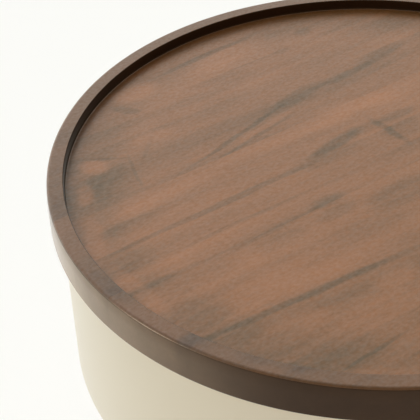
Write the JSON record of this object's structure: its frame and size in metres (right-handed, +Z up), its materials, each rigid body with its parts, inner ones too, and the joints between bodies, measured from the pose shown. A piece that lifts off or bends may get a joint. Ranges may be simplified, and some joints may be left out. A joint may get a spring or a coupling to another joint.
{
  "type": "side table",
  "caption": "Round side table: a dark wooden tray lid with a low raised rim on a cream storage drum, which stands on splayed, tapered legs.",
  "frame": {"origin": "on the floor under the middle of the table", "axes": "+Z up through the middle of the drum and the tray; the table is round, so +X and +Y only fix the legs, which stand at 45 degrees to them"},
  "size_m": [0.45, 0.45, 0.5],
  "materials": {
    "walnut_stained_wood": "dark walnut stain under a satin clear coat",
    "cream_lacquer": "cream lacquer, satin",
    "birch_plywood": "sanded birch plywood, clear sealed",
    "zinc_plated_steel": "zinc plated",
    "grey_felt": "dense pressed felt"
  },
  "bodies": {
    "base": {"drum_shell": "cream_lacquer", "drum_floor": "birch_plywood", "floor_hoop": "birch_plywood", "hoop_screw_1": "zinc_plated_steel", "hoop_screw_2": "zinc_plated_steel", "hoop_screw_3": "zinc_plated_steel", "hoop_screw_4": "zinc_plated_steel", "hoop_screw_5": "zinc_plated_steel", "hoop_screw_6": "zinc_plated_steel", "leg_plate_1": "zinc_plated_steel", "leg_plate_2": "zinc_plated_steel", "leg_plate_3": "zinc_plated_steel", "leg_plate_4": "zinc_plated_steel", "plate_screw_1": "zinc_plated_steel", "plate_screw_2": "zinc_plated_steel", "plate_screw_3": "zinc_plated_steel", "plate_screw_4": "zinc_plated_steel", "plate_screw_5": "zinc_plated_steel", "plate_screw_6": "zinc_plated_steel", "plate_screw_7": "zinc_plated_steel", "plate_screw_8": "zinc_plated_steel", "plate_screw_9": "zinc_plated_steel", "plate_screw_10": "zinc_plated_steel", "plate_screw_11": "zinc_plated_steel", "plate_screw_12": "zinc_plated_steel", "plate_screw_13": "zinc_plated_steel", "plate_screw_14": "zinc_plated_steel", "plate_screw_15": "zinc_plated_steel", "plate_screw_16": "zinc_plated_steel", "leg_1": "walnut_stained_wood", "leg_2": "walnut_stained_wood", "leg_3": "walnut_stained_wood", "leg_4": "walnut_stained_wood", "hanger_bolt_1": "zinc_plated_steel", "hanger_bolt_2": "zinc_plated_steel", "hanger_bolt_3": "zinc_plated_steel", "hanger_bolt_4": "zinc_plated_steel", "leg_pad_1": "grey_felt", "leg_pad_2": "grey_felt", "leg_pad_3": "grey_felt", "leg_pad_4": "grey_felt"},
    "tray": {"tray_top": "walnut_stained_wood", "tray_register": "birch_plywood", "register_screw_1": "zinc_plated_steel", "register_screw_2": "zinc_plated_steel", "register_screw_3": "zinc_plated_steel", "register_screw_4": "zinc_plated_steel", "register_screw_5": "zinc_plated_steel", "register_screw_6": "zinc_plated_steel", "tray_pad_1": "grey_felt", "tray_pad_2": "grey_felt", "tray_pad_3": "grey_felt", "tray_pad_4": "grey_felt", "tray_pad_5": "grey_felt", "tray_pad_6": "grey_felt"}
  },
  "joints": [
    {"name": "tray_lift", "type": "slide", "parent": "base", "child": "tray", "axis": [0, 0, 1], "range_m": [0, 0.15]}
  ]
}
